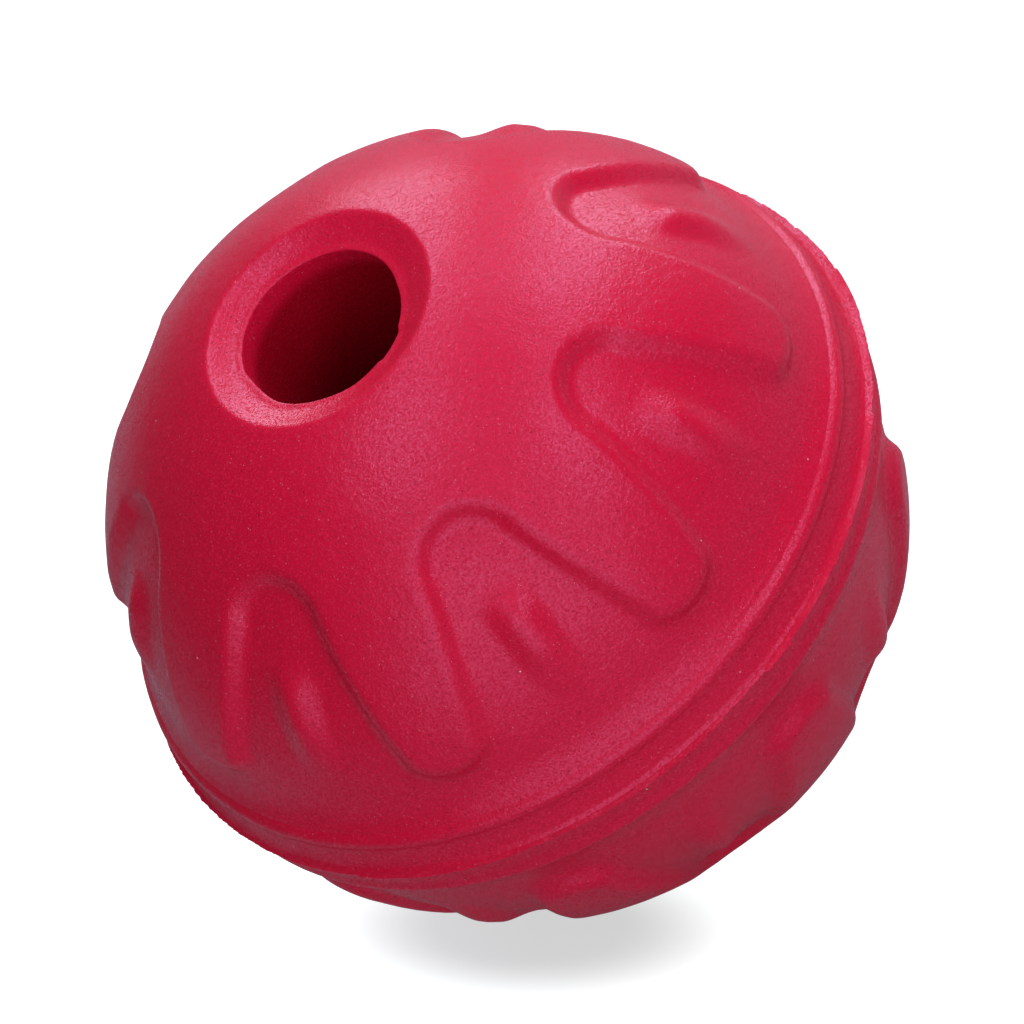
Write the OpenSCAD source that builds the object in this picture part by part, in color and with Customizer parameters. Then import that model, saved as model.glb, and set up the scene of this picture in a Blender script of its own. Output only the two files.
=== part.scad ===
// Treat dispensing ball: two moulded rubber halves bonded round the equator.
// The origin is the centre of the ball, in the seam plane. The opening points up, along +Z.

/* [Ball] */
// Outside diameter over the raised lobes
ball_d = 80; // [70:1:100]
// Thickness of the rubber wall
wall = 8.5; // [6:0.5:12]

/* [Opening] */
// Diameter of the hole that the treats go through
opening_d = 18; // [12:0.5:21]
// Diameter over the shoulder of the shallow dish round the hole
dish_d = 25.2; // [25:0.2:30]
// Depth of the dish floor below the crown of the ball
dish_depth = 3.3; // [2:0.1:4.5]
// Width of the flat floor of the dish round the hole
dish_floor_w = 0.8; // [0.4:0.1:1.2]
// Length of the throat from the dish floor to its inner end
throat_length = 24; // [16:1:30]
// Thickness of the rubber round the throat
throat_wall = 3.4; // [2:0.2:5]
// Rounding of the inner end of the throat
throat_round = 1.2; // [0.5:0.1:1.8]
// Fillet between the throat and the roof of the cavity
throat_fillet = 3; // [1:0.5:4]

/* [Relief] */
// Number of raised lobes round each half
lobes = 8; // [6:1:9]
// Depth of the recesses below the raised lobes
relief_depth = 1.4; // [0.6:0.1:2]
// Width of the soft step between a lobe and a recess
step_w = 2.2; // [1:0.1:2.8]
// Angle from the pole to the round top of a recess
recess_top_angle = 40; // [36:0.5:43]
// Angle from the pole to the tip of a lobe
lobe_tip_angle = 74.5; // [70:0.5:76]
// Width of a recess just below its round top
recess_top_w = 10; // [8:0.2:12]
// Height of the round top of a recess
recess_round = 4.8; // [3:0.2:6]
// Width of a lobe just above its tip
lobe_tip_w = 8.8; // [6:0.2:10]
// Height of the round tip of a lobe
lobe_round = 3.2; // [2.6:0.2:4.6]

/* [Tongue in each recess] */
// Width of the tongue
tongue_w = 5.4; // [3:0.2:7]
// Height of the tongue above the floor of its recess
tongue_rise = 1.1; // [0.4:0.1:1.4]
// Angle from the pole to the upper end of the tongue
tongue_top_angle = 51; // [48:0.5:54]
// Angle from the pole to the lower end of the tongue
tongue_foot_angle = 74; // [68:0.5:76]

/* [Equator band] */
// Height of the raised band over both halves
band_h = 10.4; // [9:0.2:13]
// Rise of the band's bead above the floor of the recesses
bead_rise = 1.6; // [0.8:0.1:2]
// Rise of the band at the seam, where it flares out to the flash lip
flare_rise = 2.2; // [1:0.1:2.6]

/* [Seam bond] */
// Thickness of the bond between the halves
bond_t = 0.4; // [0.2:0.1:1]
// Width of the flash lip outside the band
flash_w = 0.8; // [0.4:0.1:1.4]
// Thickness of the flash lip at its edge
flash_edge_t = 0.2; // [0.1:0.05:0.4]

/* [Hidden] */

rubber_colour = [0.77, 0.13, 0.26];
bond_colour = [0.86, 0.2, 0.33];

// Overrun of the cuts past the faces that they open
overrun = 1;
$fn = 128;

ball_r = ball_d / 2;
cavity_r = ball_r - wall;
opening_r = opening_d / 2;
throat_r = opening_r + throat_wall;
dish_floor_z = ball_r - dish_depth;
dish_floor_r = opening_r + dish_floor_w;
dish_shoulder_r = dish_d / 2;
throat_end_z = dish_floor_z - throat_length;
recess_floor_r = ball_r - relief_depth;
band_r = recess_floor_r + flare_rise;
seam_z = bond_t / 2;
band_foot_z = band_h / 2;

// A lobe points to -Y, and the recesses lie half a pitch from it
pitch = 360 / lobes;
half_pitch = pitch / 2;
first_recess_turn = half_pitch - 90;

// Angle at the ball's centre that a length on its surface covers, in degrees
function surface_angle(length) = length / ball_r * 180 / PI;

// Turn about the opening's axis that a length covers at an angle from the pole
function surface_turn(length, angle) = surface_angle(length) / sin(angle);

function mix(a, b, share) = a + (b - a) * share;
function soft_step(share) = share * share * (3 - 2 * share);

function ball_point(turn, angle, radius) =
    radius * [sin(angle) * cos(turn), sin(angle) * sin(turn), cos(angle)];

// The edge of the lobes, from the middle of a recess to the middle of a lobe.
// Each point is a turn from the middle of the recess and an angle from the pole.
recess_shares = [0, 0.12, 0.3, 0.6, 1];
side_shares = [0.33, 0.67, 1];
tip_shares = [0.35, 0.67, 1];
side_top_angle = recess_top_angle + surface_angle(recess_round);
side_foot_angle = lobe_tip_angle - surface_angle(lobe_round);
side_top_turn = surface_turn(recess_top_w / 2, side_top_angle);
lobe_tip_turn = surface_turn(lobe_tip_w / 2, side_foot_angle);
side_foot_turn = half_pitch - lobe_tip_turn;
recess_edge = [for (s = recess_shares)
    [side_top_turn * sin(90 * s), mix(side_top_angle, recess_top_angle, cos(90 * s))]];
side_edge = [for (s = side_shares)
    [mix(side_top_turn, side_foot_turn, s), mix(side_top_angle, side_foot_angle, s)]];
tip_edge = [for (s = tip_shares)
    [half_pitch - lobe_tip_turn * cos(90 * s), mix(side_foot_angle, lobe_tip_angle, sin(90 * s))]];
lobe_edge = concat(recess_edge, side_edge, tip_edge);
half_columns = len(lobe_edge) - 1;
lobe_columns = 2 * half_columns;

// Direction from the edge into the raised lobe, square to the edge: along the turn and along the angle
function edge_run(i) =
    let(here = lobe_edge[i])
    let(before = lobe_edge[max(i - 1, 0)])
    let(after = lobe_edge[min(i + 1, half_columns)])
    let(along_turn = (after[0] - before[0]) * sin(here[1]))
    let(along_angle = (i == 0 || i == half_columns) ? 0 : after[1] - before[1])
    [along_angle, -along_turn] / norm([along_turn, along_angle]);

// The edge moved by a length into the lobe, or out of it where the length is negative
function moved_edge(length) = [for (i = [0:half_columns])
    let(here = lobe_edge[i])
    let(shift = edge_run(i) * surface_angle(length))
    [here[0] + shift[0] / sin(here[1]), here[1] + shift[1]]];

function with_radius(points, radius) = [for (p = points) [p[0], p[1], radius]];

// Height of the tongue over the recess floor, at a turn from the middle of the recess
tongue_head_share = 0.25;
tongue_tail_share = 0.55;
function tongue_height(turn, angle) =
    let(across = abs(turn) / surface_turn(tongue_w / 2, angle))
    let(along = (angle - tongue_top_angle) / (tongue_foot_angle - tongue_top_angle))
    (across >= 1 || along <= 0 || along >= 1) ? 0
        : tongue_rise * pow(cos(90 * across), 2) * soft_step(min(1, along / tongue_head_share))
            * soft_step(min(1, (1 - along) / tongue_tail_share));

// Rows of points down one half of a recess and lobe, each point as [turn, angle, radius]
crown_shares = [0, 0.25, 0.5, 0.75];
step_rows_share = [[0.5, 0], [0.2, 0.14], [-0.2, 0.86], [-0.5, 1]];
floor_shares = [0.22, 0.33, 0.45, 0.62, 0.8, 1];
brow_angle = recess_top_angle - surface_angle(1.5 * step_w);
foot_angle = acos(band_foot_z / recess_floor_r);
function level_row(angle) = [for (i = [0:half_columns]) [half_pitch * i / half_columns, angle]];
function mixed_row(above, below, share) = [for (i = [0:half_columns]) mix(above[i], below[i], share)];
lobe_top_edge = moved_edge(step_w * step_rows_share[0][0]);
recess_foot_edge = moved_edge(step_w * step_rows_share[3][0]);
crown_rows = [for (s = crown_shares) with_radius(mixed_row(level_row(brow_angle), lobe_top_edge, s), ball_r)];
step_rows = [for (row = step_rows_share)
    with_radius(moved_edge(step_w * row[0]), ball_r - relief_depth * row[1])];
floor_rows = [for (s = floor_shares)
    [for (p = mixed_row(recess_foot_edge, level_row(foot_angle), s))
        [p[0], p[1], recess_floor_r + tongue_height(p[0], p[1])]]];
relief_rows = concat(crown_rows, step_rows, floor_rows);

// One ring of points round the ball from half a recess and lobe, mirrored and repeated
function relief_ring(row) = [for (lobe = [0:lobes - 1], i = [0:lobe_columns - 1])
    let(p = row[i <= half_columns ? i : lobe_columns - i])
    let(turn = i <= half_columns ? p[0] : pitch - p[0])
    ball_point(first_recess_turn + lobe * pitch + turn, p[1], p[2])];

// A level ring of points with a radius from the opening's axis
function level_ring(count, radius, z) = [for (i = [0:count - 1])
    let(turn = first_recess_turn + 360 * i / count)
    [radius * cos(turn), radius * sin(turn), z]];

// Rings of the crown: a dish that runs softly into the ball, or a plain round crown
crown_columns = lobes * lobe_columns / 2;
dish_rows_share = [[0, 0], [0.2, 0.14], [0.6, 0.56], [0.88, 0.87], [1, 1]];
plain_shares = [0.02, 0.3, 0.65, 1];
shoulder_angle = asin(dish_shoulder_r / ball_r);
function ball_z(radius) = sqrt(ball_r * ball_r - radius * radius);
dish_rings = [for (row = dish_rows_share)
    let(radius = mix(dish_floor_r, dish_shoulder_r, row[0]))
    level_ring(crown_columns, radius, mix(dish_floor_z, ball_z(dish_shoulder_r), row[1]))];
plain_rings = [for (s = plain_shares)
    level_ring(crown_columns, ball_r * sin(shoulder_angle * s), ball_r * cos(shoulder_angle * s))];
neck_angle = (shoulder_angle + brow_angle) / 2;
neck_ring = level_ring(crown_columns, ball_r * sin(neck_angle), ball_r * cos(neck_angle));

// Rings of the equator band, each a share of the way to the seam, of the bead's rise and of the flare's
band_columns = lobes * lobe_columns / 2;
band_rows_share = [[0.02, 0.2, 0], [0.06, 0.7, 0], [0.12, 0.94, 0], [0.22, 1, 0], [0.45, 0.9, 0],
    [0.7, 0.82, 0], [0.89, 0.4, 0.46], [1, 0, 1]];
band_rings = [for (row = band_rows_share)
    let(z = mix(band_foot_z, seam_z, row[0]))
    let(rise = bead_rise * row[1] + flare_rise * row[2])
    level_ring(band_columns, sqrt(recess_floor_r * recess_floor_r - z * z) + rise, z)];

// Faces between two rings, where one ring may have a whole number of times more points
function ring_faces(upper, upper_count, lower, lower_count) =
    upper_count == lower_count ? level_faces(upper, lower, upper_count)
        : upper_count < lower_count ? spread_faces(upper, upper_count, lower, lower_count)
        : gather_faces(upper, upper_count, lower, lower_count);

function level_faces(upper, lower, count) = [for (i = [0:count - 1])
    let(next = (i + 1) % count)
    let(leans = (i % lobe_columns) < half_columns)
    each leans
        ? [[upper + i, upper + next, lower + next], [upper + i, lower + next, lower + i]]
        : [[upper + i, upper + next, lower + i], [upper + next, lower + next, lower + i]]];

function spread_faces(upper, upper_count, lower, lower_count) =
    let(times = lower_count / upper_count)
    [for (i = [0:upper_count - 1])
        let(next = (i + 1) % upper_count)
        each concat(
            [[upper + i, upper + next, lower + i * times + times / 2]],
            [for (k = [0:times - 1])
                let(tip = k < times / 2 ? i : next)
                [upper + tip, lower + (i * times + k + 1) % lower_count, lower + i * times + k]])];

function gather_faces(upper, upper_count, lower, lower_count) =
    let(times = upper_count / lower_count)
    [for (i = [0:lower_count - 1])
        let(next = (i + 1) % lower_count)
        each concat(
            [[lower + next, lower + i, upper + i * times + times / 2]],
            [for (k = [0:times - 1])
                let(tip = k < times / 2 ? i : next)
                [upper + i * times + k, upper + (i * times + k + 1) % upper_count, lower + tip]])];

function ring_starts(rings, i = 0, start = 0) =
    i == len(rings) ? [] : concat([start], ring_starts(rings, i + 1, start + len(rings[i])));

function joined(rings) = [for (ring = rings) each ring];
function all_faces(rings) =
    let(starts = ring_starts(rings))
    let(last = len(rings) - 1)
    concat(
        [[for (i = [len(rings[0]) - 1:-1:0]) i]],
        [for (i = [0:last - 1])
            each ring_faces(starts[i], len(rings[i]), starts[i + 1], len(rings[i + 1]))],
        [[for (i = [0:len(rings[last]) - 1]) starts[last] + i]]);

// The solid outer shape of one half, standing on the seam plane
module moulded_skin(crown_rings) {
    rings = concat(crown_rings, [neck_ring], [for (row = relief_rows) relief_ring(row)], band_rings);
    polyhedron(points = joined(rings), faces = all_faces(rings), convexity = 8);
}

// Upper quarter of the round cavity, as a section to turn about Z
module cavity_section() {
    intersection() {
        circle(r = cavity_r);
        translate([0, -overrun])
            square([cavity_r + overrun, cavity_r + 2 * overrun]);
    }
}

// Outer outline of the throat with its round end and its fillet into the roof
module throat_section() {
    fillet_x = throat_r + throat_fillet;
    fillet_y = sqrt(pow(cavity_r - throat_fillet, 2) - pow(fillet_x, 2));
    roof_share = cavity_r / (cavity_r - throat_fillet);
    translate([0, throat_end_z + throat_round])
        square([throat_r, ball_r]);
    translate([0, throat_end_z])
        square([throat_r - throat_round, ball_r]);
    translate([throat_r - throat_round, throat_end_z + throat_round])
        circle(r = throat_round);
    difference() {
        polygon([[opening_r, fillet_y], [fillet_x, fillet_y],
            [fillet_x, fillet_y] * roof_share, [fillet_x, ball_r], [opening_r, ball_r]]);
        translate([fillet_x, fillet_y])
            circle(r = throat_fillet);
    }
}

// Hollow of the opening half: the cavity round the throat, and the bore through it
module throat_hollow() {
    rotate_extrude() {
        difference() {
            cavity_section();
            throat_section();
        }
        translate([0, throat_end_z - overrun])
            square([opening_r, throat_length + dish_depth + 2 * overrun]);
    }
}

// Half with the treat opening, its dish and its throat
module opening_half() {
    color(rubber_colour)
        difference() {
            moulded_skin(dish_rings);
            throat_hollow();
        }
}

// Closed half, with the relief mirrored across the seam
module closed_half() {
    color(rubber_colour)
        mirror([0, 0, 1])
            difference() {
                moulded_skin(plain_rings);
                sphere(r = cavity_r);
            }
}

// Cured bond between the halves, with its flash lip round the equator
module seam_bond() {
    color(bond_colour)
        rotate_extrude()
            polygon([[cavity_r, -seam_z], [band_r, -seam_z], [band_r + flash_w, -flash_edge_t / 2],
                [band_r + flash_w, flash_edge_t / 2], [band_r, seam_z], [cavity_r, seam_z]]);
}

opening_half();
closed_half();
seam_bond();
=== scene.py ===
"""A treat dispensing ball of crimson rubber: two moulded halves and the bond that joins them."""
import math

import bmesh
import bpy
import numpy as np
from mathutils import Matrix, Vector, noise


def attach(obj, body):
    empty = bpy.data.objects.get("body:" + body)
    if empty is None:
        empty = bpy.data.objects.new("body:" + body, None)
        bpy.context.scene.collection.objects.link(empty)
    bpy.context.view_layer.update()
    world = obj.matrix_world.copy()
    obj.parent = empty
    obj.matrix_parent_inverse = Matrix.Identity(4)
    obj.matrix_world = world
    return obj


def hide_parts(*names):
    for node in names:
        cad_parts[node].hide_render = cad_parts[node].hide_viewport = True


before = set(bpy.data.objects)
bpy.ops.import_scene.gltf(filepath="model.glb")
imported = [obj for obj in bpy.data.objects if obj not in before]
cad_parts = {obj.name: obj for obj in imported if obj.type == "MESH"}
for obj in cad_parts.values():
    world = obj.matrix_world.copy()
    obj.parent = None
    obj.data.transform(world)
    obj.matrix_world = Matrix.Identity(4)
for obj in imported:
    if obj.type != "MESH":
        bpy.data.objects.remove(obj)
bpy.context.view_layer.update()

# The ball's sizes are in millimetres, and its angles in degrees from the opening's axis
MM = 0.001
BALL_R = 40.0
WALL = 8.5
CAVITY_R = BALL_R - WALL

# Opening, dish and throat
OPENING_R = 9.0
RIM_ROUND = 0.15
RIM_EDGE_DEPTH = 0.5
DISH_START_R = 9.35
DISH_FLOOR_R = 9.8
DISH_SHOULDER_R = 12.6
DISH_END_R = 14.2
DISH_FLOOR_Z = 36.7
DISH_SOFTNESS = 0.22
THROAT_LENGTH = 24.0
THROAT_R = 12.4
THROAT_ROUND = 1.2
THROAT_FILLET = 3.0

# The rim of the hole was trimmed by hand: turn about the opening's axis, and radius there
RIM_CUTS = [(-360.0, 8.55), (-348.0, 8.6), (-314.0, 8.86), (-290.0, 9.1), (-269.0, 9.38), (-245.0, 9.3),
            (-212.0, 9.2), (-200.0, 8.86), (-190.0, 8.78), (-180.0, 8.88), (-169.0, 9.06), (-136.0, 9.05),
            (-113.0, 9.3), (-94.0, 9.25), (-90.5, 9.5), (-80.0, 9.42), (-71.0, 9.36), (-67.0, 9.0),
            (-32.0, 8.42), (-12.0, 8.48), (0.0, 8.55)]
RIM_CUT_DEPTH = 3.0

# Relief of lobes and recesses
LOBES = 8
PITCH = 360.0 / LOBES
HALF_PITCH = PITCH / 2
FIRST_RECESS_TURN = HALF_PITCH - 90.0
RELIEF_DEPTH = 1.4
RECESS_FLOOR_R = BALL_R - RELIEF_DEPTH
STEP_W = 3.0
STEP_EASE = 0.5
RECESS_TOP_ANGLE = 40.0
RECESS_TOP_W = 10.0
RECESS_ROUND = 4.8
LOBE_TIP_ANGLE = 74.5
LOBE_TIP_W = 8.8
LOBE_ROUND = 3.2

# Tongue in each recess, with the shares of its length over which it rises and fades
TONGUE_W = 7.2
TONGUE_RISE = 1.1
TONGUE_TOP_ANGLE = 51.0
TONGUE_FOOT_ANGLE = 74.0
TONGUE_TOP_SHARE = 0.32
TONGUE_FOOT_SHARE = 0.55

# Half the bond between the halves
SEAM_Z = 0.2

# Section of the band: height over the seam, and rise above the ball of the recess floors
BAND_SHAPE = [(5.2, 0.92), (5.0, 1.13), (4.8, 1.33), (4.6, 1.49), (4.4, 1.59), (4.2, 1.64), (4.0, 1.65),
              (3.8, 1.62), (3.6, 1.56), (3.4, 1.49), (3.2, 1.43), (3.0, 1.39), (2.6, 1.37), (2.2, 1.39),
              (1.6, 1.47), (1.1, 1.56), (0.7, 1.65), (0.4, 1.76), (SEAM_Z, 1.9)]
BAND_FOOT_Z, BAND_FOOT_RISE = BAND_SHAPE[0]
BEAD_Z = 4.2

# The recess floors swell up to the band, slowly at first
SWELL_ANGLE = 75.0
SWELL_POWER = 2.8

# Unevenness of the moulded skin
DENT_DEPTH = 0.12
DENT_W = 6.0
DENT_LAYERS = 3

# Flash lip: its reach beyond the band, its neck, and the width and depth of its tears and its waves
LIP_ROOT_R = RECESS_FLOOR_R + BAND_SHAPE[-1][1]
LIP_REACH = 0.8
LIP_NECK = 0.4
LIP_NECK_Z = SEAM_Z * 0.55
LIP_EDGE_Z = LIP_NECK_Z * 0.6
LIP_LIMIT_R = 41.5
LIP_TEARS = [(0.25, 0.06), (0.6, 0.09), (3.0, 0.08)]
LIP_WAVE_W = 4.0
LIP_WAVE = 0.14

# The lip was torn and trimmed: turn about the opening's axis, and radius of its edge there
LIP_CUTS = [(-180.0, 40.85), (-169.0, 40.9), (-160.0, 40.95), (-158.6, 41.15), (-143.0, 41.2),
            (-128.0, 40.95), (-119.0, 41.05), (-107.5, 41.15), (-104.0, 41.2), (-99.5, 41.1), (-99.0, 40.72),
            (-95.0, 40.9), (-93.5, 40.75), (-90.6, 40.85), (-90.2, 41.3), (-87.5, 41.42), (-85.5, 41.5),
            (-84.8, 41.2), (-70.0, 41.35), (-61.0, 41.3), (-48.5, 41.4), (-47.9, 41.15), (-39.0, 41.35),
            (-31.0, 41.4), (-24.0, 41.6), (-21.5, 41.6), (-20.0, 41.35), (-9.0, 41.25), (-8.5, 41.05),
            (-6.0, 41.2), (10.0, 41.25), (11.0, 41.0), (52.0, 41.3), (90.0, 41.1), (91.0, 40.9),
            (130.0, 41.2), (180.0, 40.85)]

# Fineness of the meshes: points along each stretch of a section, and columns round the ball
ARC_POINTS = 4
THROAT_CAVITY_POINTS = 8
CLOSED_CAVITY_POINTS = 14
BORE_POINTS = 4
DISH_POINTS = 23
CROWN_POINTS = 9
RELIEF_POINTS = 97
FLANK_POINTS = 16
CHANNEL_POINTS = 26
COLUMNS = 512
LIP_COLUMNS = 1440
SHARP_ANGLE = 50.0

# Fineness of the lobes' edge, and how many points are set against it at once
EDGE_ARC_POINTS = 40
EDGE_SIDE_POINTS = 60
POINTS_AT_ONCE = 8000

# Points this near are merged, and places this near count as the same
MERGE_GAP = 0.002
HAIR = 0.01


def surface_angle(length):
    """Angle at the ball's centre that a length on its surface covers."""
    return math.degrees(length / BALL_R)


BROW_ANGLE = RECESS_TOP_ANGLE - surface_angle(STEP_W)
BAND_FOOT_ANGLE = math.degrees(math.acos(BAND_FOOT_Z / RECESS_FLOOR_R))


def soft_step(share):
    """From nothing to one, flat at both ends."""
    share = np.clip(share, 0.0, 1.0)
    return share * share * (3.0 - 2.0 * share)


def step_slope(share):
    """A straight slope with its two ends eased, from nothing to one."""
    share = np.clip(share, 0.0, 1.0)
    near = np.minimum(share, 1.0 - share)
    eased = near ** 2 / (2.0 * STEP_EASE)
    straight = near - STEP_EASE / 2.0
    rise = np.where(near < STEP_EASE, eased, straight) / (1.0 - STEP_EASE)
    return np.where(share < 0.5, rise, 1.0 - rise)


def lobe_edge():
    """The edge of the lobes, from the middle of a recess to the middle of a lobe."""
    side_top = RECESS_TOP_ANGLE + surface_angle(RECESS_ROUND)
    side_foot = LOBE_TIP_ANGLE - surface_angle(LOBE_ROUND)
    top_turn = surface_angle(RECESS_TOP_W / 2) / math.sin(math.radians(side_top))
    tip_turn = surface_angle(LOBE_TIP_W / 2) / math.sin(math.radians(side_foot))
    sweep = np.linspace(0.0, math.pi / 2, EDGE_ARC_POINTS)
    side = np.linspace(0.0, 1.0, EDGE_SIDE_POINTS)[1:-1]
    turns = np.concatenate([
        top_turn * np.sin(sweep),
        top_turn + (HALF_PITCH - tip_turn - top_turn) * side,
        HALF_PITCH - tip_turn * np.cos(sweep)])
    angles = np.concatenate([
        side_top - (side_top - RECESS_TOP_ANGLE) * np.cos(sweep),
        side_top + (side_foot - side_top) * side,
        side_foot + (LOBE_TIP_ANGLE - side_foot) * np.sin(sweep)])
    return turns, angles


def folded_turn(turn):
    """Turn from the middle of the nearest recess, from nothing to half a pitch."""
    return np.abs((turn - FIRST_RECESS_TURN + HALF_PITCH) % PITCH - HALF_PITCH)


def edge_distance(turn, angle):
    """Length from places on the ball to the lobes' edge, positive inside a lobe."""
    edge_turn, edge_angle = lobe_edge()
    wide_turn = np.concatenate([-edge_turn[::-1], edge_turn, PITCH - edge_turn[::-1]])
    wide_angle = np.concatenate([edge_angle[::-1], edge_angle, edge_angle[::-1]])
    nearest = np.empty_like(turn)
    for start in range(0, len(turn), POINTS_AT_ONCE):
        part = slice(start, start + POINTS_AT_ONCE)
        across = (turn[part, None] - wide_turn) * np.sin(np.radians(angle[part, None]))
        along = angle[part, None] - wide_angle
        nearest[part] = np.sqrt((across ** 2 + along ** 2).min(axis=1))
    inside = angle < np.interp(turn, edge_turn, edge_angle)
    return np.where(inside, nearest, -nearest) * math.radians(1.0) * BALL_R


def tongue_height(turn, angle):
    """Height of the tongue over the recess floor."""
    half_turn = surface_angle(TONGUE_W / 2) / np.sin(np.radians(angle))
    crown = np.cos(np.clip(turn / half_turn, 0.0, 1.0) * math.pi / 2) ** 2
    along = (angle - TONGUE_TOP_ANGLE) / (TONGUE_FOOT_ANGLE - TONGUE_TOP_ANGLE)
    ends = soft_step(along / TONGUE_TOP_SHARE) * soft_step((1 - along) / TONGUE_FOOT_SHARE)
    return TONGUE_RISE * crown * ends


def swell_height(angle):
    """Height by which the recess floors rise towards the band."""
    share = np.clip((angle - SWELL_ANGLE) / (BAND_FOOT_ANGLE - SWELL_ANGLE), 0.0, 1.0)
    return BAND_FOOT_RISE * share ** SWELL_POWER


def moulded_radius(turn, angle):
    """Distance of the moulded skin from the ball's centre over the relief."""
    turn = folded_turn(turn)
    raised = step_slope(0.5 + edge_distance(turn, angle) / STEP_W)
    low = RECESS_FLOOR_R + tongue_height(turn, angle) + swell_height(angle)
    return low + (BALL_R - low) * raised


def arc(centre, radius, start, end, count=ARC_POINTS):
    """Points of a section's arc, between two angles in degrees."""
    return [(centre[0] + radius * math.cos(math.radians(a)), centre[1] + radius * math.sin(math.radians(a)))
            for a in np.linspace(start, end, count)]


def cavity_arc(start, end, count):
    """The cavity's round wall, which ends at the bond."""
    return [(x, max(z, SEAM_Z)) for x, z in arc((0.0, 0.0), CAVITY_R, start, end, count)]


def ball_z(radius):
    """Height of the ball over a distance from its axis."""
    return math.sqrt(BALL_R ** 2 - radius ** 2)


def softly_lower(first, second):
    """The lower of two heights, with a soft turn where they cross."""
    return (first + second - math.hypot(first - second, DISH_SOFTNESS)) / 2


def dish_profile():
    """The sharp rim of the hole, the dish floor, and its slope up to the shoulder and on over the crown."""
    slope = (ball_z(DISH_SHOULDER_R) - DISH_FLOOR_Z) / (DISH_SHOULDER_R - DISH_FLOOR_R)
    points = arc((OPENING_R + RIM_ROUND, DISH_FLOOR_Z - RIM_ROUND), RIM_ROUND, 180, 90)
    for radius in np.linspace(DISH_START_R, DISH_END_R, DISH_POINTS):
        height = DISH_FLOOR_Z - softly_lower(0.0, (DISH_FLOOR_R - radius) * slope)
        points.append((radius, softly_lower(height, ball_z(radius))))
    return points


def skin_profile(start_angle):
    """The outer skin from the crown to the foot of the equator band."""
    angles = list(np.linspace(start_angle, BROW_ANGLE, CROWN_POINTS)[1:])
    angles += list(np.linspace(BROW_ANGLE, BAND_FOOT_ANGLE, RELIEF_POINTS)[1:])
    return [(BALL_R * math.sin(math.radians(a)), BALL_R * math.cos(math.radians(a))) for a in angles]


def band_profile():
    """The band from its foot to the seam: bead, shallow channel and the flare to the flash lip."""
    known_z = [z for z, rise in reversed(BAND_SHAPE)]
    known_rise = [rise for z, rise in reversed(BAND_SHAPE)]
    flank = np.linspace(BAND_FOOT_Z, BEAD_Z, FLANK_POINTS)[1:]
    channel = np.linspace(BEAD_Z, SEAM_Z, CHANNEL_POINTS)[1:]
    return [(math.sqrt(RECESS_FLOOR_R ** 2 - z ** 2) + float(np.interp(z, known_z, known_rise)), z)
            for z in np.concatenate([flank, channel])]


def throat_profile():
    """The inside of the opening half, from the seam over the cavity's roof and down the throat."""
    fillet_x = THROAT_R + THROAT_FILLET
    fillet_y = math.sqrt((CAVITY_R - THROAT_FILLET) ** 2 - fillet_x ** 2)
    roof_angle = math.degrees(math.atan2(fillet_y, fillet_x))
    end_z = DISH_FLOOR_Z - THROAT_LENGTH
    mouth_round = THROAT_ROUND / 2
    points = cavity_arc(0.0, roof_angle, THROAT_CAVITY_POINTS)
    points += arc((fillet_x, fillet_y), THROAT_FILLET, roof_angle, 180)
    points += arc((THROAT_R - THROAT_ROUND, end_z + THROAT_ROUND), THROAT_ROUND, 0, -90)
    points += arc((OPENING_R + mouth_round, end_z + mouth_round), mouth_round, 270, 180)
    bore = np.linspace(DISH_FLOOR_Z - RIM_CUT_DEPTH, DISH_FLOOR_Z - RIM_EDGE_DEPTH, BORE_POINTS)
    return points + [(OPENING_R, z) for z in bore]


def spun(profile, closed, columns=COLUMNS):
    """A bmesh of a section in millimetres, turned over one pitch and then doubled all the way round."""
    shell = bmesh.new()
    corners = [shell.verts.new((radius * MM, 0.0, z * MM)) for radius, z in profile]
    edges = [shell.edges.new(pair) for pair in zip(corners, corners[1:])]
    if closed:
        edges.append(shell.edges.new((corners[-1], corners[0])))
    bmesh.ops.spin(shell, geom=corners + edges, cent=(0, 0, 0), axis=(0, 0, 1), angle=math.radians(PITCH),
                   steps=columns // LOBES)
    turn = PITCH
    while turn < 360.0:
        everything = shell.verts[:] + shell.edges[:] + shell.faces[:]
        copy = bmesh.ops.duplicate(shell, geom=everything)["geom"]
        bmesh.ops.rotate(shell, verts=[v for v in copy if isinstance(v, bmesh.types.BMVert)], cent=(0, 0, 0),
                         matrix=Matrix.Rotation(math.radians(turn), 3, "Z"))
        turn *= 2
    bmesh.ops.remove_doubles(shell, verts=shell.verts, dist=MERGE_GAP * MM)
    return shell


def finished(name, shell):
    """A smooth piece from a bmesh, with its faces turned outwards."""
    bmesh.ops.recalc_face_normals(shell, faces=shell.faces)
    for face in shell.faces:
        face.smooth = True
    mesh = bpy.data.meshes.new(name)
    shell.to_mesh(mesh)
    shell.free()
    mesh.set_sharp_from_angle(angle=math.radians(SHARP_ANGLE))
    piece = bpy.data.objects.new(name, mesh)
    bpy.context.collection.objects.link(piece)
    return piece


def press_relief(shell):
    """Moves the skin's points to the moulded relief."""
    points = np.array([v.co[:] for v in shell.verts]) / MM
    radius = np.linalg.norm(points, axis=1)
    angle = np.degrees(np.arccos(np.clip(np.abs(points[:, 2]) / radius, 0, 1)))
    over_relief = (angle > BROW_ANGLE) & (angle < BAND_FOOT_ANGLE + HAIR)
    skin = np.flatnonzero((radius > BALL_R - HAIR) & over_relief)
    turn = np.degrees(np.arctan2(points[skin, 1], points[skin, 0]))
    moved = points[skin] * (moulded_radius(turn, angle[skin]) / radius[skin])[:, None] * MM
    shell.verts.ensure_lookup_table()
    for index, place in zip(skin, moved):
        shell.verts[index].co = place


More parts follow.
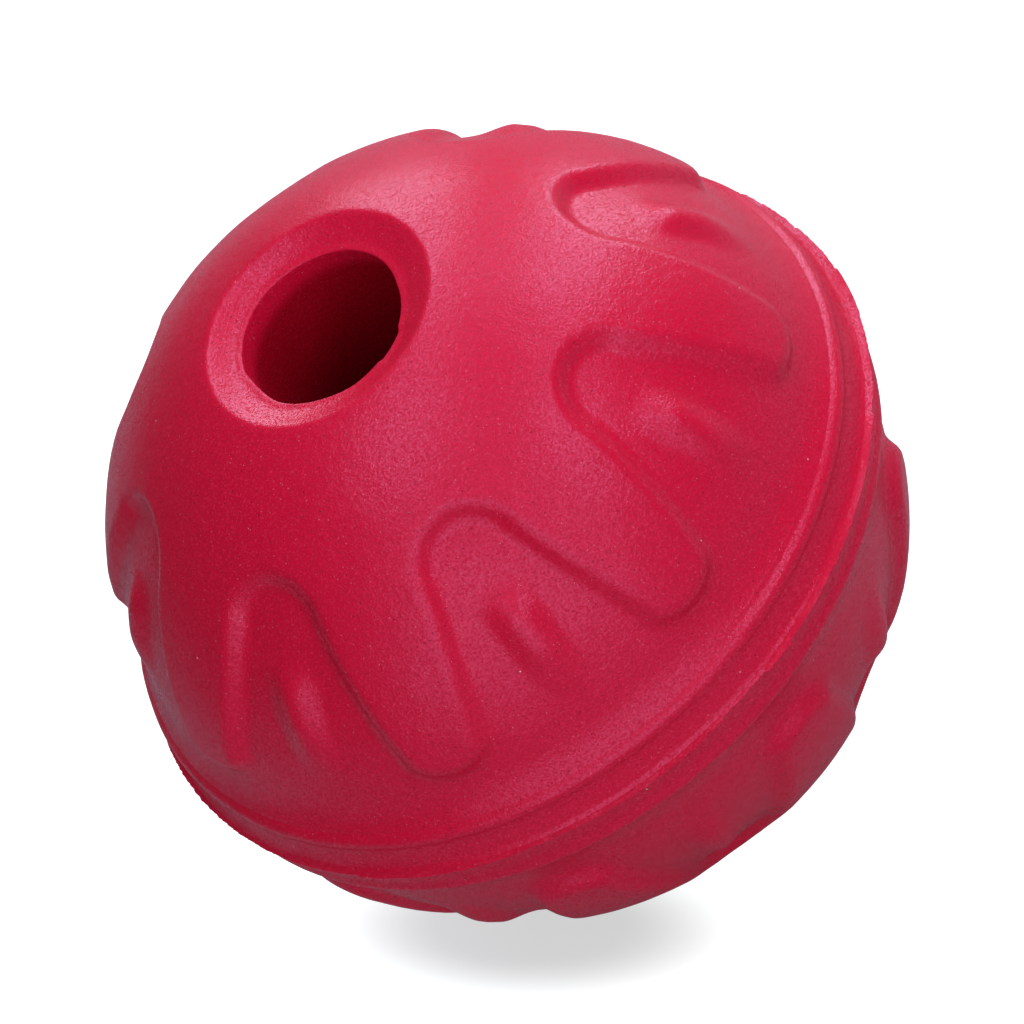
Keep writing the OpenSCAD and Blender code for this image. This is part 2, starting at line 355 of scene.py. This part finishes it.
def cut_radius(cuts, turn):
    """Radius of a hand-cut edge at a turn."""
    return float(np.interp(turn, [at for at, radius in cuts], [radius for at, radius in cuts]))


def trim_rim(shell):
    """Moves the points round the hole to the uneven rim that the knife left."""
    for vert in shell.verts:
        radius = math.hypot(vert.co.x, vert.co.y) / MM
        depth = DISH_FLOOR_Z - vert.co.z / MM
        if radius < OPENING_R - HAIR or radius > DISH_SHOULDER_R or depth > RIM_CUT_DEPTH:
            continue
        turn = math.degrees(math.atan2(vert.co.y, vert.co.x)) % 360.0 - 360.0
        outward = (DISH_SHOULDER_R - radius) / (DISH_SHOULDER_R - OPENING_R)
        inward = 1.0 - max(depth, 0.0) / RIM_CUT_DEPTH
        share = 1.0 + (cut_radius(RIM_CUTS, turn) - OPENING_R) * outward * inward / radius
        vert.co.x *= share
        vert.co.y *= share


def hand_worked(shell):
    """Presses the skin in a little, unevenly, so that it isn't the perfect form of its mould."""
    for vert in shell.verts:
        if vert.co.length > (BALL_R - WALL / 2) * MM and abs(vert.co.z) > 2.0 * SEAM_Z * MM:
            dent = 0.5 + 0.5 * noise.fractal(vert.co / (DENT_W * MM), 1.0, 2.0, DENT_LAYERS)
            vert.co *= 1.0 - DENT_DEPTH * min(max(dent, 0.0), 1.0) / BALL_R


def opening_half():
    """The half with the hole, its dish and the throat."""
    crown_angle = math.degrees(math.asin(DISH_END_R / BALL_R))
    shell = spun(throat_profile() + dish_profile() + skin_profile(crown_angle) + band_profile(), closed=True)
    press_relief(shell)
    trim_rim(shell)
    hand_worked(shell)
    return finished("opening_half_rubber", shell)


def closed_half():
    """The half without a hole, made upright and then turned over."""
    inner = cavity_arc(90.0, 0.0, CLOSED_CAVITY_POINTS)
    inner[0] = (0.0, CAVITY_R)
    outer = [(0.0, BALL_R)] + skin_profile(0.0) + band_profile()
    shell = spun(inner + outer[::-1], closed=False)
    press_relief(shell)
    bmesh.ops.scale(shell, vec=(1, 1, -1), verts=shell.verts)
    hand_worked(shell)
    return finished("closed_half_rubber", shell)


def seam_flash():
    """The bond between the halves, with a torn lip that is squeezed out round the band."""
    neck_r = LIP_ROOT_R + LIP_NECK
    tip_r = LIP_ROOT_R + LIP_REACH
    upper = [(tip_r, LIP_EDGE_Z), (neck_r, LIP_NECK_Z), (LIP_ROOT_R, SEAM_Z), (CAVITY_R, SEAM_Z)]
    lower = [(radius, -z) for radius, z in reversed(upper)]
    shell = spun(lower + upper, closed=True, columns=LIP_COLUMNS)
    for vert in shell.verts:
        radius = math.hypot(vert.co.x, vert.co.y) / MM
        if radius > LIP_ROOT_R + HAIR:
            turn = math.degrees(math.atan2(vert.co.y, vert.co.x))
            edge = Vector((vert.co.x, vert.co.y, 0.0)) / MM
            tear = sum(depth * noise.noise(edge / width) for width, depth in LIP_TEARS)
            edge_r = min(cut_radius(LIP_CUTS, turn) + tear, LIP_LIMIT_R)
            share = (radius - LIP_ROOT_R) / LIP_REACH
            vert.co *= (LIP_ROOT_R + (edge_r - LIP_ROOT_R) * share) / radius
            vert.co.z += LIP_WAVE * noise.noise(edge / LIP_WAVE_W) * share * MM
    return finished("seam_flash", shell)


class Value:
    """A number that varies over a surface. Arithmetic on it adds Math nodes."""

    def __init__(self, tree, socket):
        self.tree = tree
        self.socket = socket

    def math(self, operation, other):
        return self.tree.node("ShaderNodeMath", {"operation": operation}, {0: self, 1: other})

    def __add__(self, other):
        return self.math("ADD", other)

    def __sub__(self, other):
        return self.math("SUBTRACT", other)

    def __rsub__(self, other):
        return (self * -1.0).math("ADD", other)

    def __mul__(self, other):
        return self.math("MULTIPLY", other)

    def __truediv__(self, other):
        return self.math("DIVIDE", other)

    def __pow__(self, other):
        return self.math("POWER", other)

    __radd__ = __add__
    __rmul__ = __mul__

    def ramp(self, low, high):
        """Nothing at low and one at high, with soft ends."""
        return self.tree.node("ShaderNodeMapRange", {"interpolation_type": "SMOOTHSTEP"},
                              {"Value": self, "From Min": low, "From Max": high})


class Tree:
    """The nodes of a material or of the world, which are added by one method."""

    def __init__(self, owner, output_kind):
        owner.use_nodes = True
        self.owner = owner
        self.nodes = owner.node_tree.nodes
        self.links = owner.node_tree.links
        self.nodes.clear()
        self.out = self.nodes.new(output_kind)

    def node(self, kind, settings, inputs, output=0):
        made = self.nodes.new(kind)
        for key, setting in settings.items():
            setattr(made, key, setting)
        for key, given in inputs.items():
            if isinstance(given, Value):
                self.links.new(given.socket, made.inputs[key])
            else:
                made.inputs[key].default_value = given
        return Value(self, made.outputs[output])

    def ray(self, kind):
        """One where the light path has this kind of ray, otherwise nothing."""
        return self.node("ShaderNodeLightPath", {}, {}, kind)

    def surface(self, shader):
        self.links.new(shader.socket, self.out.inputs["Surface"])
        return self.owner


class Finish(Tree):
    """A material, whose patterns lie on Object coordinates in metres."""

    def __init__(self, name):
        super().__init__(bpy.data.materials.new(name), "ShaderNodeOutputMaterial")
        self.place = self.node("ShaderNodeTexCoord", {}, {}, "Object")

    def noise(self, scale, detail, roughness=0.5):
        return self.node("ShaderNodeTexNoise", {},
                         {"Vector": self.place, "Scale": scale, "Detail": detail, "Roughness": roughness})

    def along(self, direction):
        """How far a point lies along a direction."""
        return self.node("ShaderNodeVectorMath", {"operation": "DOT_PRODUCT"},
                         {0: self.place, 1: direction}, "Value")

    def from_centre(self):
        """How far a point lies from the ball's centre."""
        return self.node("ShaderNodeVectorMath", {"operation": "LENGTH"}, {0: self.place}, "Value")

    def cells(self, scale, output=0):
        """The distance to the middle of a random cell, or with output 1 the cell's own colour."""
        return self.node("ShaderNodeTexVoronoi", {"feature": "F1"},
                         {"Vector": self.place, "Scale": scale}, output)

    def spots(self, scale, size, share):
        """Small round spots in a share of the cells of a random lattice."""
        near = self.cells(scale)
        pick = self.node("ShaderNodeSeparateColor", {}, {"Color": self.cells(scale, 1)})
        return (1.0 - near.ramp(size * 0.6, size)) * (1.0 - pick.ramp(share - 0.01, share))

    def blend(self, share, first, second):
        inputs = {0: share, 6: first, 7: second}
        return self.node("ShaderNodeMix", {"data_type": "RGBA", "clamp_factor": True}, inputs, 2)


# Rubber: how many waves or cells of each pattern lie along a metre
CLOUD_SCALE = 90.0
SPECK_SCALE = 430.0
SWELL_SCALE = 1200.0
PORE_SCALE = 1500.0
GLINT_SPOT_SCALE = 2600.0
PEBBLE_SCALE = 3400.0
GRAIN_SCALE = 4200.0

# Depth of the grain, and how far from the centre the inner red, painted shade inside the opening, gives way
# to the outer skin, in metres
GRAIN_DEPTH = 0.000035
SKIN_ZONE = (0.0345, 0.0365)

# Colours of each rubber: in the valleys of the grain, darker as painted shade, between, and on its peaks,
# lighter and pinker as a painted highlight
CRIMSON = ((0.55, 0.001, 0.026, 1.0), (0.64, 0.003, 0.035, 1.0), (0.71, 0.019, 0.063, 1.0))
BOND_RED = ((0.56, 0.002, 0.030, 1.0), (0.64, 0.008, 0.045, 1.0), (0.72, 0.025, 0.070, 1.0))

# Colours that both rubbers share: painted shade inside the opening and in the pores, painted glints, and dust
INNER_SHADE_RED = (0.36, 0.001, 0.012, 1.0)
PORE_SHADE_RED = (0.18, 0.001, 0.012, 1.0)
GLINT_SPOT_PINK = (0.95, 0.34, 0.42, 1.0)
DUST_WHITE = (0.9, 0.75, 0.75, 1.0)
GLOSS_TINT = (0.58, 0.58, 1.0, 1.0)


def rubber(name, colours):
    """Matte natural rubber: leathery grain with mottled painted highlights on its peaks, painted glints,
    painted shade in its valleys, pores and opening, and dust specks.
    """
    valley_shade_colour, base, peak_highlight_colour = colours
    finish = Finish(name)
    cloud = finish.noise(CLOUD_SCALE, 4.0).ramp(0.3, 0.7)
    grain = finish.noise(GRAIN_SCALE, 3.0, 0.6)
    # The grain's peaks get a painted highlight and its valleys painted shade, in the base colour
    glint = grain.ramp(0.53, 0.63)
    shaded_valleys = 1.0 - grain.ramp(0.39, 0.49)
    # Inside the opening and the cavity the colour is darker, as painted shade
    outer = finish.from_centre().ramp(*SKIN_ZONE)
    # Pores are sunk in the bump, and painted shade darkens them
    pore = finish.spots(PORE_SCALE, 0.15, 0.25)
    # Sparse spots of painted glint on the outer skin
    glint_spots = finish.spots(GLINT_SPOT_SCALE, 0.15, 0.16)
    speck = finish.spots(SPECK_SCALE, 0.045, 0.12)
    with_valley_shade = finish.blend(shaded_valleys, base, valley_shade_colour)
    with_peak_highlight = finish.blend(glint * (0.8 + cloud * 0.2), with_valley_shade, peak_highlight_colour)
    with_glint_spots = finish.blend(outer * glint_spots * 0.7, with_peak_highlight, GLINT_SPOT_PINK)
    with_pore_shade = finish.blend(outer * pore * 0.8, with_glint_spots, PORE_SHADE_RED)
    dusty = finish.blend(outer * speck * 0.8, with_pore_shade, DUST_WHITE)
    height = finish.cells(PEBBLE_SCALE) * 0.4 + grain + finish.noise(SWELL_SCALE, 2.0) * 1.4 - pore * 0.8
    bump = finish.node("ShaderNodeBump", {}, {"Strength": 1.0, "Distance": GRAIN_DEPTH, "Height": height})
    shader = finish.node("ShaderNodeBsdfPrincipled", {}, {
        "Base Color": finish.blend(outer, INNER_SHADE_RED, dusty),
        "Roughness": 0.25 - glint * 0.07 + shaded_valleys * 0.4,
        "Specular IOR Level": 0.48,
        "Specular Tint": GLOSS_TINT,
        "Normal": bump})
    return finish.surface(shader)


def dressed(piece, node, material):
    """Gives a piece its material and its place in the model."""
    piece.data.materials.append(material)
    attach(piece, "root")
    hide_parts(node)


# Camera, from here on in metres: the opening's axis leans to the upper left, and a lobe lies just right of it
CAMERA_ELEVATION = 43.9
CAMERA_TURN = -102.7
CAMERA_ROLL = -42.9
CAMERA_DISTANCE = 1.6
CAMERA_REACH = 10.0
BALL_PIXELS = 403.0
BALL_CENTRE_PIXELS = (507.2, 523.0)
IMAGE_PIXELS = 1024
SENSOR_MM = 36.0


def view_axes():
    """The photograph's right, up and towards the viewer, in the ball's frame."""
    turn = math.radians(CAMERA_TURN)
    rise = math.radians(CAMERA_ELEVATION)
    roll = math.radians(CAMERA_ROLL)
    toward = Vector((math.cos(rise) * math.cos(turn), math.cos(rise) * math.sin(turn), math.sin(rise)))
    level = Vector((0, 0, 1)).cross(toward).normalized()
    upright = toward.cross(level)
    right = level * math.cos(roll) + upright * math.sin(roll)
    up = upright * math.cos(roll) - level * math.sin(roll)
    return right, up, toward


def placed(name, data, spot, axes):
    """An object at a spot, with its own x, y and z along the three axes."""
    holder = bpy.data.objects.new(name, data)
    bpy.context.collection.objects.link(holder)
    holder.matrix_world = Matrix.Translation(spot) @ Matrix(axes).transposed().to_4x4()
    return holder


def camera():
    """The camera, as far off as the ball's place and size in the photograph ask."""
    distance = CAMERA_DISTANCE / (BALL_R * MM)
    focal_pixels = BALL_PIXELS * math.sqrt(distance ** 2 - 1)
    lens = bpy.data.cameras.new("camera")
    lens.sensor_width = SENSOR_MM
    lens.lens = focal_pixels / IMAGE_PIXELS * SENSOR_MM
    lens.clip_end = CAMERA_REACH
    lens.shift_x = (IMAGE_PIXELS / 2 - BALL_CENTRE_PIXELS[0]) / IMAGE_PIXELS
    lens.shift_y = (BALL_CENTRE_PIXELS[1] - IMAGE_PIXELS / 2) / IMAGE_PIXELS
    axes = view_axes()
    bpy.context.scene.camera = placed("camera", lens, axes[2] * CAMERA_DISTANCE, axes)


# Lamps: name, the two ends of the box in the photograph's right, up and towards, its width and its power
SOFTBOXES = [
    ("left_upper_strip", ((-0.23, 0.67, -0.50), (-0.26, 0.68, 0.35)), 0.26, 2.5),
    ("left_lower_strip", ((-0.24, 0.60, 0.42), (-0.40, 0.10, 0.63)), 0.22, 1.05),
    ("right_upper_strip", ((0.22, 0.71, -0.42), (0.12, 0.64, 0.42)), 0.22, 2.6),
    ("right_lower_strip", ((0.15, 0.54, 0.52), (0.34, 0.08, 0.70)), 0.20, 1.0),
    ("front_softbox", ((-0.10, 0.55, 0.90), (-0.10, -0.45, 0.90)), 1.0, 1.5),
    ("low_softbox", ((-0.52, -0.52, 0.82), (0.72, -0.50, 0.78)), 1.0, 4.8),
]
LAMP_COLOUR = (1.0, 0.96, 1.08)

# Strength of the white room for all light, and the share of its white that the rubber's gloss sees
ROOM_FILL = 0.06
ROOM_GLOSS = 0.03


def softbox(name, ends, width, power):
    """A lamp as long as the way between its two ends, which are in the photograph's right, up and towards."""
    first, last = (sum((axis * share for axis, share in zip(view_axes(), end)), Vector()) for end in ends)
    spot = (first + last) / 2
    out = spot.normalized()
    run = last - first
    run = (run - out * run.dot(out)).normalized()
    lamp = bpy.data.lights.new(name, "AREA")
    lamp.shape = "RECTANGLE"
    lamp.size = width
    lamp.size_y = (last - first).length
    lamp.energy = power
    lamp.color = LAMP_COLOUR
    placed(name, lamp, spot, (run.cross(out), run, out))


def room():
    """A world that is white to the camera and dim to the ball."""
    world = bpy.data.worlds.new("white_room")
    bpy.context.scene.world = world
    tree = Tree(world, "ShaderNodeOutputWorld")
    direct = tree.ray("Is Camera Ray").math("MAXIMUM", tree.ray("Is Transmission Ray"))
    seen = direct.math("MAXIMUM", tree.ray("Is Glossy Ray") * ROOM_GLOSS)
    tree.surface(tree.node("ShaderNodeBackground", {}, {
        "Color": (1.0, 1.0, 1.0, 1.0),
        "Strength": ROOM_FILL + seen * (1.0 - ROOM_FILL)}))


# Floor: half its side, its colour under the lamps, and the white that the camera sees
FLOOR_HALF = 3.0
FLOOR_COLOUR = (0.40, 0.35, 0.39, 1.0)
GLOW_COLOUR = (0.94, 1.0, 0.98, 1.0)
GLOW = 1.2

# A grey patch for a shadow, placed as in the photograph and not cast by the ball: its middle and half sizes
# along the photograph's right and up, its soft edge as shares of them, and the glow inside
SHADOW_PLACE = (0.0024, -0.0408)
SHADOW_SIZE = (0.0215, 0.0073)
SHADOW_EDGE = (0.4, 1.3)
SHADOW_GLOW = 0.57


def floor():
    """A white floor under the ball, with a soft grey patch that stands for the photograph's shadow."""
    sheet = bmesh.new()
    bmesh.ops.create_grid(sheet, x_segments=4, y_segments=4, size=FLOOR_HALF)
    bmesh.ops.translate(sheet, verts=sheet.verts, vec=(0, 0, -BALL_R * MM))
    mesh = bpy.data.meshes.new("floor")
    sheet.to_mesh(mesh)
    sheet.free()
    piece = bpy.data.objects.new("floor", mesh)
    bpy.context.collection.objects.link(piece)
    finish = Finish("white_floor")
    right, up, toward = view_axes()
    aside = (finish.along(right) - SHADOW_PLACE[0]) / SHADOW_SIZE[0]
    below = (finish.along(up) - SHADOW_PLACE[1]) / SHADOW_SIZE[1]
    clear = ((aside * aside + below * below) ** 0.5).ramp(*SHADOW_EDGE)
    glow = finish.node("ShaderNodeEmission", {}, {
        "Color": GLOW_COLOUR,
        "Strength": finish.ray("Is Camera Ray") * (SHADOW_GLOW + clear * (GLOW - SHADOW_GLOW))})
    matte = finish.node("ShaderNodeBsdfDiffuse", {}, {"Color": FLOOR_COLOUR})
    mesh.materials.append(finish.surface(finish.node("ShaderNodeAddShader", {}, {0: matte, 1: glow})))


bpy.context.scene.view_settings.view_transform = "Standard"
camera()
for name, ends, width, power in SOFTBOXES:
    softbox(name, ends, width, power)
room()
floor()
crimson = rubber("crimson_rubber", CRIMSON)
dressed(opening_half(), "opening_half", crimson)
dressed(closed_half(), "closed_half", crimson)
dressed(seam_flash(), "seam_bond", rubber("bond_rubber", BOND_RED))
